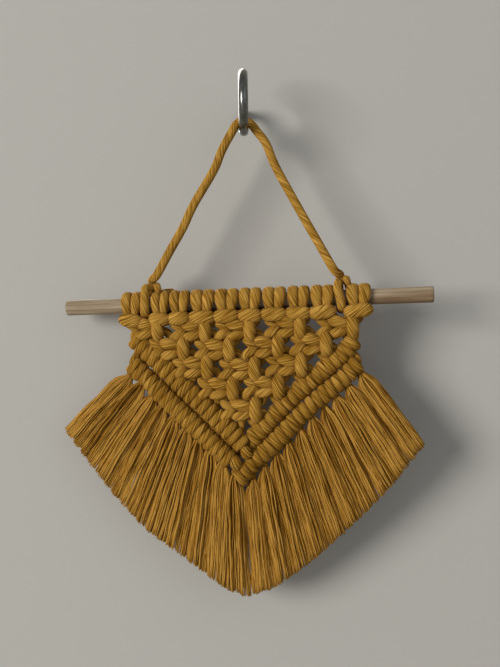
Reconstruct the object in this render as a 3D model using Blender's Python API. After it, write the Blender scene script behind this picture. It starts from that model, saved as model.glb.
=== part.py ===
"""Macrame wall hanging on a wooden dowel, hung by its cord from a steel screw hook.

World frame: +X runs along the dowel to the right as seen from the front, the front faces -Y, the
wall is the plane Y = 0 behind it, +Z is up. The origin is where the hook's shank meets the wall.
All sizes in this file are millimetres, and MM turns them into metres.
The dowel and the knotting are built in a frame of their own, which hangs under the hook with its
middle on the dowel's axis, and which is turned a little about the vertical.
"""

import math

import bmesh
import bpy
from mathutils import Matrix, Vector

MM = 0.001

# Screw hook: a straight shank out of the wall, a small back bend, then an open ring.
HOOK_WIRE = 3.8
HOOK_RING_RADIUS = 11.4  # to the middle of the wire
HOOK_RING_DEPTH = 23.0  # ring's middle, in front of the wall
HOOK_BEND_RADIUS = 3.0
HOOK_TIP_PAST_TOP = 23.0  # degrees
HOOK_POINT_GAP = 1.7

# Where the hanging frame sits.
HANG_DEPTH = 20.0
HANG_DROP = 80.0
HANG_YAW = 6.5  # degrees, right end away from the wall
DOWEL_TILT = 1.0  # degrees, right end up

DOWEL_LENGTH = 150.0
DOWEL_DIAMETER = 6.4
DOWEL_EDGE = 0.5

GAP = 0.35  # air between pieces that touch

# Hanger cord.
HANGER_DIAMETER = 3.5
HANGER_POINT_GAP = 2.95
HANGER_TAIL_HEIGHT = 7.8
HANGER_LEFT_X = -40.9  # where each end goes round the dowel
HANGER_RIGHT_X = 37.6
HANGER_FOOT_DEPTH = 4.0
HANGER_FOOT_HEIGHT = 6.6

# Lark's head knots: two strands over the dowel and a bar across their feet.
HEAD_OUTER_RADIUS = 5.5
HEAD_GROOVE_RADIUS = 5.0
HEAD_EDGE_RADIUS = 4.4
HEAD_BAR_REACH = 3.2  # how far the bar stands out past the strands
HEAD_BAR_ANGLE = 57.0  # degrees below the front
HEAD_BAR_SPREAD = 40.0  # degrees to each side
HEAD_STEPS = 14

# Net of square knots.
KNOT_HALF_WIDTH = 5.2
KNOT_HALF_HEIGHT = 3.3
KNOT_HALF_DEPTH = 3.9
LINK_RADIUS = 1.7
LINK_LONGEST = 15.0
LINK_STEP = 0.2
LINK_FALLS = (0.35, 1.3)  # slopes of the two cords that a side knot sends to its band
NET_DEPTH = -1.5  # middle of the net, in front of the dowel's axis
NET_VOXEL = 0.6
NET_FACES_KEPT = 0.08

# Bands of half hitches.
BAND_HALF_WIDTH = 3.75  # to the corners of its six-sided ring
BAND_HALF_DEPTH = 3.1
BAND_END = 0.6  # size of its end rings, against the size at a bead
BAND_VALLEY = 0.82  # size between two beads, against the size at a bead
BAND_SIDES = 6

# Fringe.
FRINGE_HALF_DEPTH = 2.0
FRINGE_EDGE_DEPTH = 0.8
FRINGE_DEPTH = -0.4
FRINGE_NOTCH = 0.2  # how far down the teeth stay apart, of their length
FRINGE_TOP_WIDTH = 0.55  # width of a tooth at its top, of its full width
FRINGE_BOW = 0.12  # how far its edges bow out, of their width
FRINGE_LIFT = 0.03  # and up, of their drop

# One row a knot, left to right: middle and width along the dowel.
LARK_HEADS = (
    # x, width
    (-47.0, 7.6),
    (-35.0, 7.2),
    (-27.1, 7.6),
    (-17.65, 9.3),
    (-7.75, 9.0),
    (1.8, 8.5),
    (11.5, 8.9),
    (21.2, 8.6),
    (30.7, 8.8),
    (45.1, 9.0),
)

# Middles of the square knots, one row of the net a line, top to bottom.
NET_ROWS = (
    # height, each knot's x
    (-12.6, (-39.2, -20.5, -0.9, 18.7, 37.0)),
    (-19.6, (-28.2, -10.6, 8.7, 26.6)),
    (-27.2, (-19.2, -1.3, 16.9)),
    (-35.3, (-9.3, 7.6)),
    (-43.4, (-0.9,)),
)

# Middle lines of the bands, from the outer end to the V's point, and the beads on them.
BANDS = {
    "band_left_inner": {
        "line": ((-46.2, -17.4), (-35.9, -25.0), (-26.8, -34.0), (-15.4, -44.8), (-3.5, -56.4)),
        "beads": 18,
    },
    "band_left_outer": {
        "line": ((-47.4, -25.0), (-39.9, -32.3), (-30.6, -41.8), (-21.6, -50.8), (-7.2, -64.9)),
        "beads": 18,
    },
    "band_right_inner": {
        "line": ((44.4, -18.2), (36.0, -24.0), (26.3, -32.3), (19.0, -38.3), (2.6, -54.8)),
        "beads": 18,
    },
    "band_right_outer": {
        "line": ((44.6, -26.0), (36.6, -33.7), (28.2, -40.3), (10.1, -58.0), (-3.2, -71.0)),
        "beads": 20,
    },
}

# Edges between the fringe's teeth, from the outer side to the middle, one row an edge:
# where it leaves the band, and where it is cut.
FRINGE_EDGES = {
    "fringe_left": (
        # top x, top z, cut x, cut z
        (-52.4, -30.1, -76.6, -51.8),
        (-47.4, -33.0, -67.0, -63.0),
        (-41.9, -35.8, -58.8, -72.8),
        (-37.4, -40.3, -51.6, -81.8),
        (-32.8, -44.9, -44.2, -90.2),
        (-28.0, -49.5, -36.2, -96.8),
        (-23.2, -54.3, -28.4, -101.6),
        (-18.4, -58.9, -20.8, -107.8),
        (-13.6, -63.6, -13.8, -113.2),
        (-9.2, -69.4, -6.8, -117.4),
        (-5.2, -77.0, -0.4, -119.0),
    ),
    "fringe_right": (
        (48.2, -29.4, 70.6, -57.6),
        (43.4, -32.9, 64.8, -66.2),
        (38.2, -37.6, 58.0, -73.8),
        (33.5, -41.8, 51.2, -80.4),
        (28.7, -46.0, 44.6, -87.0),
        (23.9, -50.5, 37.8, -93.4),
        (19.1, -55.2, 31.0, -99.6),
        (14.4, -60.0, 23.8, -105.6),
        (9.7, -65.5, 16.6, -111.2),
        (5.2, -72.0, 8.6, -116.4),
        (0.4, -78.0, 0.4, -119.0),
    ),
}

COTTON_COLOUR = (0.40, 0.22, 0.042)
WOOD_COLOUR = (0.45, 0.33, 0.22)
STEEL_COLOUR = (0.62, 0.63, 0.64)


def clear_scene():
    for obj in list(bpy.data.objects):
        bpy.data.objects.remove(obj, do_unlink=True)


def make_material(name, colour, roughness, metallic):
    material = bpy.data.materials.new(name)
    material.use_nodes = True
    shader = material.node_tree.nodes["Principled BSDF"]
    shader.inputs["Base Color"].default_value = (*colour, 1.0)
    shader.inputs["Roughness"].default_value = roughness
    shader.inputs["Metallic"].default_value = metallic
    return material


def add_object(name, data, material, parent=None):
    obj = bpy.data.objects.new(name, data)
    data.materials.append(material)
    bpy.context.scene.collection.objects.link(obj)
    obj.parent = parent
    return obj


def add_mesh(name, shape, material, parent=None):
    """Turns a bmesh in millimetres into an object in metres."""
    bmesh.ops.recalc_face_normals(shape, faces=shape.faces)
    bmesh.ops.scale(shape, vec=(MM, MM, MM), verts=shape.verts)
    mesh = bpy.data.meshes.new(name)
    shape.to_mesh(mesh)
    shape.free()
    mesh.shade_smooth()
    mesh.set_sharp_from_angle(angle=math.radians(40))
    return add_object(name, mesh, material, parent)


def spline_point(points, place):
    """The point at place (0 to len - 1) on a smooth curve through all the points."""
    index = min(int(place), len(points) - 2)
    part = place - index
    near = points[index]
    far = points[index + 1]
    before = points[index - 1] if index > 0 else near * 2 - far
    after = points[index + 2] if index + 2 < len(points) else far * 2 - near
    square = part * part
    cube = square * part
    return 0.5 * (
        near * 2
        + (far - before) * part
        + (before * 2 - near * 5 + far * 4 - after) * square
        + (near * 3 - before - far * 3 + after) * cube
    )


def even_points(points, gap=None, count=None):
    """Points evenly spaced on the smooth curve through the given ones: about gap apart, or count."""
    fine = [spline_point(points, step / 24) for step in range(24 * (len(points) - 1) + 1)]
    lengths = [0.0]
    for near, far in zip(fine, fine[1:]):
        lengths.append(lengths[-1] + (far - near).length)
    if count is None:
        count = max(2, round(lengths[-1] / gap))
    even = []
    index = 0
    for step in range(count + 1):
        wanted = lengths[-1] * step / count
        while index < len(fine) - 2 and lengths[index + 1] < wanted:
            index += 1
        part = (wanted - lengths[index]) / (lengths[index + 1] - lengths[index])
        even.append(fine[index].lerp(fine[index + 1], min(max(part, 0.0), 1.0)))
    return even


def add_tube(name, points, diameter, sides_step, material, end_radii=()):
    """A round tube along points, in millimetres. end_radii shrinks its last points to round it."""
    curve = bpy.data.curves.new(name, "CURVE")
    curve.dimensions = "3D"
    curve.bevel_depth = diameter / 2 * MM
    curve.bevel_resolution = sides_step
    curve.use_fill_caps = True
    spline = curve.splines.new("POLY")
    spline.points.add(len(points) - 1)
    for target, point in zip(spline.points, points):
        target.co = (*(point * MM), 1.0)
    for target, radius in zip(reversed(spline.points), end_radii):
        target.radius = radius
    return add_object(name, curve, material)


def add_loft(name, rings, material, parent):
    """A closed skin over rings of equal count, capped at both ends."""
    shape = bmesh.new()
    rows = [[shape.verts.new(point) for point in ring] for ring in rings]
    for low, high in zip(rows, rows[1:]):
        for side in range(len(low)):
            after = (side + 1) % len(low)
            shape.faces.new((low[side], low[after], high[after], high[side]))
    shape.faces.new(rows[0])
    shape.faces.new(rows[-1])
    return add_mesh(name, shape, material, parent)


def hanging_place():
    """From the hanging frame to the world, in millimetres."""
    return Matrix.Translation((0, -HANG_DEPTH, -HANG_DROP)) @ Matrix.Rotation(
        math.radians(-HANG_YAW), 4, "Z"
    )


def dowel_height(x):
    return x * math.tan(math.radians(DOWEL_TILT))


def add_hanging_frame():
    empty = bpy.data.objects.new("hanging", None)
    place = hanging_place()
    empty.location = place.translation * MM
    empty.rotation_euler = place.to_euler()
    bpy.context.scene.collection.objects.link(empty)
    return empty


def arc(middle, radius, start, end, gap):
    """Points on an arc in the YZ plane. Angles are degrees from +Y towards +Z."""
    steps = max(2, round(abs(math.radians(end - start)) * radius / gap))
    points = []
    for step in range(steps + 1):
        angle = math.radians(start + (end - start) * step / steps)
        y = middle[0] + radius * math.cos(angle)
        z = middle[1] + radius * math.sin(angle)
        points.append(Vector((0, y, z)))
    return points


def hook_route():
    """Shank, back bend and ring of the hook, from the wall to the tip."""
    reach = math.sqrt(HOOK_RING_RADIUS**2 + 2 * HOOK_RING_RADIUS * HOOK_BEND_RADIUS)
    bend_y = reach - HOOK_RING_DEPTH
    turn = math.degrees(math.atan2(HOOK_BEND_RADIUS, reach))
    bend = arc((bend_y, -HOOK_BEND_RADIUS), HOOK_BEND_RADIUS, 90, 180 - turn, HOOK_POINT_GAP)
    ring = arc(
        (-HOOK_RING_DEPTH, 0),
        HOOK_RING_RADIUS,
        -turn,
        -270 - HOOK_TIP_PAST_TOP,
        HOOK_POINT_GAP,
    )
    shank = [Vector((0, 0, 0)), Vector((0, bend_y / 2, 0))]
    return shank + bend + ring[1:]


def hanger_turn(x):
    """Once round the dowel from the front of it, then up to the tail, in the hanging frame."""
    turn = DOWEL_DIAMETER / 2 + GAP + HANGER_DIAMETER / 2
    height = dowel_height(x)
    offsets = (
        # along, back, up
        (0.0, -turn, 0.0),
        (0.0, -0.7 * turn, -0.72 * turn),
        (0.0, 0.0, -turn),
        (0.0, 0.7 * turn, -0.72 * turn),
        (0.0, turn, 0.0),
        (0.0, 0.84 * turn, 0.76 * turn),
        (1.2, 2.6, HANGER_TAIL_HEIGHT - 0.9),
        (3.2, 0.8, HANGER_TAIL_HEIGHT),
        (5.0, -0.4, HANGER_TAIL_HEIGHT + 0.1),
    )
    return [Vector((x + along, back, height + up)) for along, back, up in offsets]


def hanger_foot(x, along):
    """Where a leg of the hanger meets its turn round the dowel, in the hanging frame."""
    return Vector((x + along, -HANGER_FOOT_DEPTH, dowel_height(x) + HANGER_FOOT_HEIGHT))


def hanger_route():
    """The hanger cord from its left tail to its right tail."""
    place = hanging_place()
    left = [place @ point for point in hanger_turn(HANGER_LEFT_X)]
    right = [place @ point for point in hanger_turn(HANGER_RIGHT_X)]
    left_foot = place @ hanger_foot(HANGER_LEFT_X, 1.5)
    right_foot = place @ hanger_foot(HANGER_RIGHT_X, -1.0)
    legs = (
        # x, y, z
        (-36.2, -21.0, -68.8),
        (-25.4, -21.8, -50.0),
        (-20.6, -22.0, -40.6),
        (-12.4, -22.5, -27.0),
        (-8.9, -22.8, -18.9),
        (-4.9, -23.0, -11.9),
        (-2.8, -23.0, -8.6),
        (0.0, -23.0, -7.4),
        (2.8, -23.0, -8.6),
        (5.2, -23.0, -11.6),
        (8.9, -23.2, -16.8),
        (12.7, -23.8, -26.5),
        (21.3, -25.2, -43.0),
        (29.4, -26.6, -58.0),
        (35.0, -28.0, -68.2),
    )
    middle = [Vector(row) for row in legs]
    return list(reversed(left)) + [left_foot] + middle + [right_foot] + right


def add_lark_head(index, x, width, material, parent):
    """A knot round the dowel, as one ring whose front foot swells into the bar."""
    half = width / 2
    inner = DOWEL_DIAMETER / 2 + GAP
    profile = (
        # along, radius, share of the bar's reach
        (-half, inner, 0.0),
        (-half, HEAD_EDGE_RADIUS, 0.7),
        (-0.5 * half, HEAD_OUTER_RADIUS, 1.0),
        (0.0, HEAD_GROOVE_RADIUS, 1.15),
        (0.5 * half, HEAD_OUTER_RADIUS, 1.0),
        (half, HEAD_EDGE_RADIUS, 0.7),
        (half, inner, 0.0),
    )
    shape = bmesh.new()
    rows = []
    for step in range(HEAD_STEPS):
        angle = 360 * step / HEAD_STEPS
        away = abs((angle - HEAD_BAR_ANGLE + 180) % 360 - 180)
        swell = max(0.0, math.cos(math.radians(min(away / HEAD_BAR_SPREAD, 1.0) * 90)))
        turn = math.radians(angle)
        row = []
        for along, radius, share in profile:
            reach = radius + share * HEAD_BAR_REACH * swell
            height = dowel_height(x + along) - reach * math.sin(turn)
            row.append(shape.verts.new((x + along, -reach * math.cos(turn), height)))
        rows.append(row)
    for low, high in zip(rows, rows[1:] + rows[:1]):
        for column in range(len(low)):
            after = (column + 1) % len(low)
            shape.faces.new((low[column], low[after], high[after], high[column]))
    return add_mesh(f"lark_head_{index:02d}", shape, material, parent)


def net_knots():
    """Middles of the square knots, one list for each row."""
    return [[Vector((x, NET_DEPTH, height)) for x in middles] for height, middles in NET_ROWS]


def add_ball(shape, middle, radii):
    ball = bmesh.ops.create_uvsphere(shape, u_segments=16, v_segments=10, radius=1.0)
    for vert in ball["verts"]:
        x, y, z = vert.co
        boxy = (abs(x) ** 3 + abs(y) ** 3 + abs(z) ** 3) ** (1 / 3)
        point = vert.co / boxy
        vert.co = middle + Vector((point.x * radii[0], point.y * radii[1], point.z * radii[2]))


def add_link(shape, start, end, radius):
    """A round-ended link of cord between two points."""
    along = end - start
    turn = along.to_track_quat("Z", "Y").to_matrix().to_4x4()
    bmesh.ops.create_cone(
        shape,
        cap_ends=True,
        segments=12,
        radius1=radius,
        radius2=radius,
        depth=along.length,
        matrix=Matrix.Translation((start + end) / 2) @ turn,
    )
    for point in (start, end):
        bmesh.ops.create_uvsphere(
            shape, u_segments=12, v_segments=8, radius=radius, matrix=Matrix.Translation(point)
        )


def reach_band(start, direction, band):
    """The last point on the way from start that keeps a link clear of the band."""
    line = [Vector((x, NET_DEPTH, z)) for x, z in BANDS[band]["line"]]
    clear = BAND_HALF_WIDTH + GAP + LINK_RADIUS
    reach = 0.0
    while reach < LINK_LONGEST:
        point = start + direction * (reach + LINK_STEP)
        if min(distance_to_run(point, near, far) for near, far in zip(line, line[1:])) < clear:
            break
        reach += LINK_STEP
    return start + direction * reach


def distance_to_run(point, start, end):
    along = end - start
    part = max(0.0, min(1.0, (point - start).dot(along) / along.length_squared))
    return (point - start - along * part).length


def add_net(material, parent):
    """Square knots and the cords that link them, fused into one open net."""
    shape = bmesh.new()
    rows = net_knots()
    radii = (KNOT_HALF_WIDTH, KNOT_HALF_DEPTH, KNOT_HALF_HEIGHT)
    side = 0.5 * KNOT_HALF_WIDTH
    foot = Vector((0, 0, -0.5 * KNOT_HALF_HEIGHT))
    for row in rows:
        for knot in row:
            add_ball(shape, knot, radii)
    for upper, lower in zip(rows, rows[1:]):
        for index, knot in enumerate(lower):
            for above, sign in ((upper[index], 1), (upper[index + 1], -1)):
                start = above + foot + Vector((sign * side, 0, 0))
                end = knot - foot - Vector((sign * side, 0, 0))
                add_link(shape, start, end, LINK_RADIUS)
    for row in rows[1:]:
        for knot, sign, band in (
            (row[0], -1, "band_left_inner"),
            (row[-1], 1, "band_right_inner"),
        ):
            start = knot + foot + Vector((sign * side, 0, 0))
            for fall in LINK_FALLS:
                direction = Vector((sign, 0, -fall)).normalized()
                end = reach_band(start, direction, band)
                if (end - start).length > LINK_RADIUS:
                    add_link(shape, start, end, LINK_RADIUS)
    net = add_mesh("knotted_net", shape, material, parent)
    fuse = net.modifiers.new("Fuse", "REMESH")
    fuse.mode = "VOXEL"
    fuse.voxel_size = NET_VOXEL * MM
    thin = net.modifiers.new("Thin", "DECIMATE")
    thin.ratio = NET_FACES_KEPT
    return net


def add_band(name, material, parent):
    """A beaded roll along the band's line, one bead for each time the cord goes round it."""
    line = [Vector((x, NET_DEPTH, z)) for x, z in BANDS[name]["line"]]
    steps = 2 * BANDS[name]["beads"]
    middles = even_points(line, count=steps)
    rings = []
    for step, middle in enumerate(middles):
        along = (middles[min(step + 1, steps)] - middles[max(step - 1, 0)]).normalized()
        across = along.cross(Vector((0, 1, 0)))
        size = 1.0 if step % 2 else BAND_VALLEY
        if step in (0, steps):
            size = BAND_END
        ring = []
        for side in range(BAND_SIDES):
            angle = 2 * math.pi * (side + 0.5) / BAND_SIDES
            offset = across * (BAND_HALF_WIDTH * size * math.cos(angle))
            offset += Vector((0, BAND_HALF_DEPTH * size * math.sin(angle), 0))
            ring.append(middle + offset)
        rings.append(ring)
    return add_loft(name, rings, material, parent)


def fringe_edge(row, place):
    """A point on the curve between two teeth, from the band (0) to the cut (1)."""
    top_x, top_z, cut_x, cut_z = row
    top = Vector((top_x, FRINGE_DEPTH, top_z))
    cut = Vector((cut_x, FRINGE_DEPTH, cut_z))
    bow = Vector((FRINGE_BOW * (cut_x - top_x), 0, FRINGE_LIFT * (top_z - cut_z)))
    return top.lerp(cut, place) + bow * (4 * place * (1 - place))


def add_fringe(name, material, parent):
    """One comb: teeth that stay apart at the band and run together below it."""
    edges = FRINGE_EDGES[name]
    places = (0.0, 0.5 * FRINGE_NOTCH, FRINGE_NOTCH, 0.45, 0.72, 1.0)
    columns = (-1.0, -0.6, 0.0, 0.6, 1.0)
    shape = bmesh.new()
    shared = {}

    def corner(key, point):
        """One vertex for each key, so that teeth share the edge between them."""
        if key not in shared:
            shared[key] = shape.verts.new(point)
        return shared[key]

    for tooth in range(len(edges) - 1):
        rows = []
        for step, place in enumerate(places):
            low = fringe_edge(edges[tooth], place)
            high = fringe_edge(edges[tooth + 1], place)
            apart = min(place / FRINGE_NOTCH, 1.0)
            width = FRINGE_TOP_WIDTH + (1 - FRINGE_TOP_WIDTH) * apart
            front = []
            back = []
            for column, share in enumerate(columns):
                point = (low + high) / 2 + (high - low) / 2 * share * width
                swell = FRINGE_HALF_DEPTH - FRINGE_EDGE_DEPTH
                depth = FRINGE_EDGE_DEPTH + swell * (1 - share**2) * (1 - 0.35 * place)
                key = (tooth, step, column)
                if apart == 1.0 and column == len(columns) - 1:
                    key = (tooth + 1, step, 0)
                front.append(corner((*key, "front"), point - Vector((0, depth, 0))))
                back.append(corner((*key, "back"), point + Vector((0, depth, 0))))
            rows.append((front, back))
        for (front, back), (next_front, next_back) in zip(rows, rows[1:]):
            for column in range(len(columns) - 1):
                after = column + 1
                shape.faces.new(
                    (front[column], front[after], next_front[after], next_front[column])
                )
                shape.faces.new((back[after], back[column], next_back[column], next_back[after]))
        for front, back in (rows[0], rows[-1]):
            for column in range(len(columns) - 1):
                after = column + 1
                shape.faces.new((front[column], front[after], back[after], back[column]))
        notch = places.index(FRINGE_NOTCH)
        left_end = len(rows) - 1 if tooth == 0 else notch
        right_end = len(rows) - 1 if tooth == len(edges) - 2 else notch
        for column, end in ((0, left_end), (len(columns) - 1, right_end)):
            for step in range(end):
                front, back = rows[step]
                next_front, next_back = rows[step + 1]
                shape.faces.new(
                    (front[column], next_front[column], next_back[column], back[column])
                )
    return add_mesh(name, shape, material, parent)


def add_dowel(material, parent):
    shape = bmesh.new()
    bmesh.ops.create_cone(
        shape,
        cap_ends=True,
        segments=24,
        radius1=DOWEL_DIAMETER / 2,
        radius2=DOWEL_DIAMETER / 2,
        depth=DOWEL_LENGTH,
        matrix=Matrix.Rotation(math.radians(90), 4, "Y"),
    )
    dowel = add_mesh("dowel", shape, material, parent)
    dowel.rotation_euler = (0, math.radians(-DOWEL_TILT), 0)
    edge = dowel.modifiers.new("Edge", "BEVEL")
    edge.width = DOWEL_EDGE * MM
    edge.segments = 2
    return dowel


def build():
    clear_scene()
    cotton = make_material("ochre_cotton", COTTON_COLOUR, 0.9, 0.0)
    wood = make_material("beech", WOOD_COLOUR, 0.65, 0.0)
    steel = make_material("plated_steel", STEEL_COLOUR, 0.25, 1.0)
    hanging = add_hanging_frame()
    add_tube("screw_hook", hook_route(), HOOK_WIRE, 4, steel, (0.45, 0.9))
    add_dowel(wood, hanging)
    hanger = even_points(hanger_route(), gap=HANGER_POINT_GAP)
    add_tube("hanger_cord", hanger, HANGER_DIAMETER, 2, cotton)
    for index, (x, width) in enumerate(LARK_HEADS, 1):
        add_lark_head(index, x, width, cotton, hanging)
    add_net(cotton, hanging)
    for name in BANDS:
        add_band(name, cotton, hanging)
    for name in FRINGE_EDGES:
        add_fringe(name, cotton, hanging)


build()
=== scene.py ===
"""Looks of the macrame wall hanging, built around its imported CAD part.

Every cord is one real route: over the dowel in a lark's head, through the net of square knots,
round the cores of two bands, and out into the fringe, where it comes apart into its yarns.
Lengths here are millimetres, and MM turns them into metres. Routes are laid out in the hanging
frame (middle on the dowel's axis, front towards -Y), and HANGING takes them to the row's frame.
"""

import math
import random

import bpy
import numpy as np
from mathutils import Matrix, Vector


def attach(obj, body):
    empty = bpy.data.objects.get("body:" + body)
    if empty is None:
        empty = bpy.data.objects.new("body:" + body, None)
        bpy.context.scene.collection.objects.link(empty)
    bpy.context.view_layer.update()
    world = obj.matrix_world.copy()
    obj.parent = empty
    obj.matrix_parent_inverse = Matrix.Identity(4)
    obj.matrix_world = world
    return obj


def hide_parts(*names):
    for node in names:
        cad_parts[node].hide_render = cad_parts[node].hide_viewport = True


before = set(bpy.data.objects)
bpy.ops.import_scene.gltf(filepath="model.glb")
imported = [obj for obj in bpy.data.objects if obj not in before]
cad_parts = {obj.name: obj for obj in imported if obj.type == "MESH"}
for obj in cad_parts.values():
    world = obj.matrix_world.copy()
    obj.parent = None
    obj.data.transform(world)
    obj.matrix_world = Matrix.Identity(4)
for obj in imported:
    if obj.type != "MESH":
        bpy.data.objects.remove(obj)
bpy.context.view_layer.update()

MM = 0.001
HANGING = Matrix.Translation((0, -20, -80)) @ Matrix.Rotation(math.radians(-6.5), 4, "Z")
DOWEL_TILT = 1.0  # degrees, right end up
DOWEL_RADIUS = 3.2
DOWEL_LENGTH = 150.0
DOWEL_SIDES = 72
DOWEL_STEPS = 90
DOWEL_EASE = 0.5  # how far the ends are rounded, along and across

CORD_SIDES = 32
CORD_LOBES = 16
CORD_STEP = 0.85
LOBE_DEPTH = 0.075
CORD_BOXINESS = 2.5  # 2 is an ellipse, and more is squarer
TWIST_PITCH = -18.0  # length of cord in which its yarns go once round
TWIST_STEP = 0.7  # radians that each cord's twist starts ahead of the one before
GROOVE_SHADE = 0.12  # painted shade: how much darker the cord's colour is painted in the groove where two yarns meet
TONE_SHADE = 0.26  # how much of a strand's tone shows in its colour: random per fringe yarn, and painted shade per piece in the net and bands
PLAIN_TONE = 0.5  # neither lighter nor darker
# Painted shade: the cord's colour is darker in the net, and darker still in the bands.
NET_PAINTED_SHADE = 0.4
BAND_PAINTED_SHADE = 0.25
CURVE_STEPS = 16  # straight pieces in each stretch of a route, before it is divided evenly

# Lark's heads: middle and width along the dowel, bar's height, bar's slope.
LARK_HEADS = (
    # x, width, bar z, bar slope
    (-47.0, 8.0, -6.3, -0.16),
    (-35.05, 7.3, -6.2, -0.05),
    (-27.1, 7.8, -6.1, 0.06),
    (-17.65, 9.4, -6.0, 0.0),
    (-7.75, 9.2, -5.9, 0.05),
    (1.75, 8.6, -5.9, 0.0),
    (11.5, 9.0, -5.8, 0.0),
    (21.25, 8.6, -5.7, 0.0),
    (30.8, 9.0, -5.6, 0.16),
    (45.2, 9.4, -5.5, 0.10),
)

# Square knots, row by row: middle of each, in the hanging frame.
NET_DEPTH = -1.5
KNOTS = (
    ((-40.3, -10.6), (-20.9, -11.6), (-2.8, -11.5), (17.5, -10.8), (38.4, -11.0)),
    ((-29.9, -18.9), (-11.2, -19.4), (8.6, -18.7), (27.7, -17.8)),
    ((-20.3, -26.5), (-1.1, -27.6), (17.7, -26.0)),
    ((-10.0, -35.2), (8.4, -34.6)),
    ((-0.95, -43.8),),
)

# What one cord does in a square knot, from its top to its foot.
# right, back, up, half width, half depth
RIGHT_WORKER = (
    (6.8, 0.3, 3.2, 1.7, 1.4),
    (4.4, -0.6, 1.9, 1.8, 1.3),
    (2.1, -2.2, 1.3, 1.95, 1.5),
    (-0.6, -3.1, 1.75, 2.45, 1.9),
    (-2.9, -2.9, 2.4, 2.4, 1.8),
    (-4.8, -1.6, 3.0, 1.6, 1.4),
    (-5.8, 0.7, 2.3, 1.2, 1.2),
    (-6.0, 1.4, 0.2, 1.2, 1.2),
    (-5.6, 0.5, -1.7, 1.2, 1.2),
    (-4.6, -1.4, -2.7, 1.4, 1.3),
    (-2.7, -2.6, -2.6, 2.0, 1.7),
    (-0.6, -2.8, -2.1, 2.05, 1.7),
    (2.1, -1.9, -1.4, 1.6, 1.3),
    (5.0, -0.7, -0.9, 1.6, 1.3),
    (7.2, -0.3, -1.2, 1.75, 1.4),
    (8.9, -0.2, -3.2, 1.7, 1.4),
)
LEFT_WORKER = (
    (-8.8, -1.3, 3.1, 1.6, 1.3),
    (-7.2, -2.2, 1.8, 1.8, 1.4),
    (-5.3, -1.6, 0.7, 1.65, 1.2),
    (-2.8, 1.1, 0.4, 1.5, 1.2),
    (0.5, 2.2, 0.9, 1.6, 1.2),
    (3.2, 1.7, 2.4, 1.4, 1.2),
    (4.3, -1.2, 3.7, 2.1, 1.5),
    (4.3, -3.6, 2.2, 2.45, 1.8),
    (4.4, -4.3, 0.0, 2.5, 1.9),
    (4.5, -3.6, -2.2, 2.45, 1.7),
    (4.4, -1.2, -3.7, 2.1, 1.4),
    (3.4, 1.7, -2.4, 1.6, 1.2),
    (0.5, 2.2, -0.9, 1.5, 1.1),
    (-2.8, 1.1, -0.5, 1.4, 1.1),
    (-4.8, -1.4, -0.5, 1.65, 1.2),
    (-6.8, -2.4, -1.6, 2.0, 1.5),
    (-9.0, -1.8, -3.3, 1.8, 1.4),
)
LEFT_FILLER = (
    (-1.4, 0.1, 2.8, 1.6, 1.4),
    (-1.3, 0.3, 0.0, 1.5, 1.3),
    (-1.4, 0.1, -2.8, 1.6, 1.4),
)
RIGHT_FILLER = (
    (1.4, 0.1, 2.8, 1.6, 1.4),
    (1.3, 0.3, 0.0, 1.5, 1.3),
    (1.4, 0.1, -2.8, 1.6, 1.4),
)
KNOT_ROLES = (LEFT_WORKER, LEFT_FILLER, RIGHT_FILLER, RIGHT_WORKER)
# The cords at the net's two sides leave their knot straight down.
LEFT_EDGE_EXIT = ((-5.4, -1.2, -1.4, 1.7, 1.4), (-5.9, -0.6, -3.2, 1.7, 1.4))
RIGHT_EDGE_EXIT = ((5.6, 0.2, -1.2, 1.4, 1.2), (5.4, 0.4, -3.2, 1.4, 1.2))

# Bands: middle line from the outer end to the point of the V (x, z), and the wraps on it.
# Lean is how far a wrap falls back along the band, in pitches, as it goes up across the front.
# Across is how far from the middle line the wrapped cord's middle turns back.
BANDS = {
    "band_left_inner": {
        "lean": 0.02,
        "across": 2.7,
        "line": (
            (-46.2, -13.8),
            (-41.6, -18.6),
            (-35.8, -24.2),
            (-26.8, -33.6),
            (-15.4, -44.3),
            (-7.0, -52.6),
            (-1.6, -58.6),
        ),
        "hitches": 18,
    },
    "band_left_outer": {
        "lean": 0.02,
        "across": 2.45,
        "line": (
            (-47.3, -24.6),
            (-44.3, -27.9),
            (-39.9, -32.0),
            (-35.3, -37.0),
            (-21.6, -50.6),
            (-12.6, -59.7),
            (-7.2, -64.6),
        ),
        "hitches": 18,
    },
    "band_right_inner": {
        "lean": 0.16,
        "across": 2.2,
        "line": (
            (43.3, -15.8),
            (40.5, -19.8),
            (36.3, -23.5),
            (26.3, -31.9),
            (19.0, -37.9),
            (10.2, -46.8),
            (1.4, -56.0),
        ),
        "hitches": 18,
    },
    "band_right_outer": {
        "lean": 0.16,
        "across": 2.2,
        "line": (
            (44.6, -25.0),
            (41.0, -29.4),
            (36.6, -33.4),
            (28.2, -40.0),
            (20.4, -47.2),
            (10.1, -57.8),
            (3.0, -64.2),
            (-4.4, -72.2),
        ),
        "hitches": 20,
    },
}
BAND_DEPTH = -1.5
WRAP_RADIUS_DEPTH = 2.1
WRAP_HALF_WIDTH = 1.86
WRAP_HALF_DEPTH = 1.8
WRAP_SWELL = (-0.04, 0.05)
WRAP_BEHIND = (0.9, 0.8)  # width and depth of a wrap behind the core, against those in front
CORE_RADIUS = 1.5
CORE_STATIONS = 14

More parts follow.
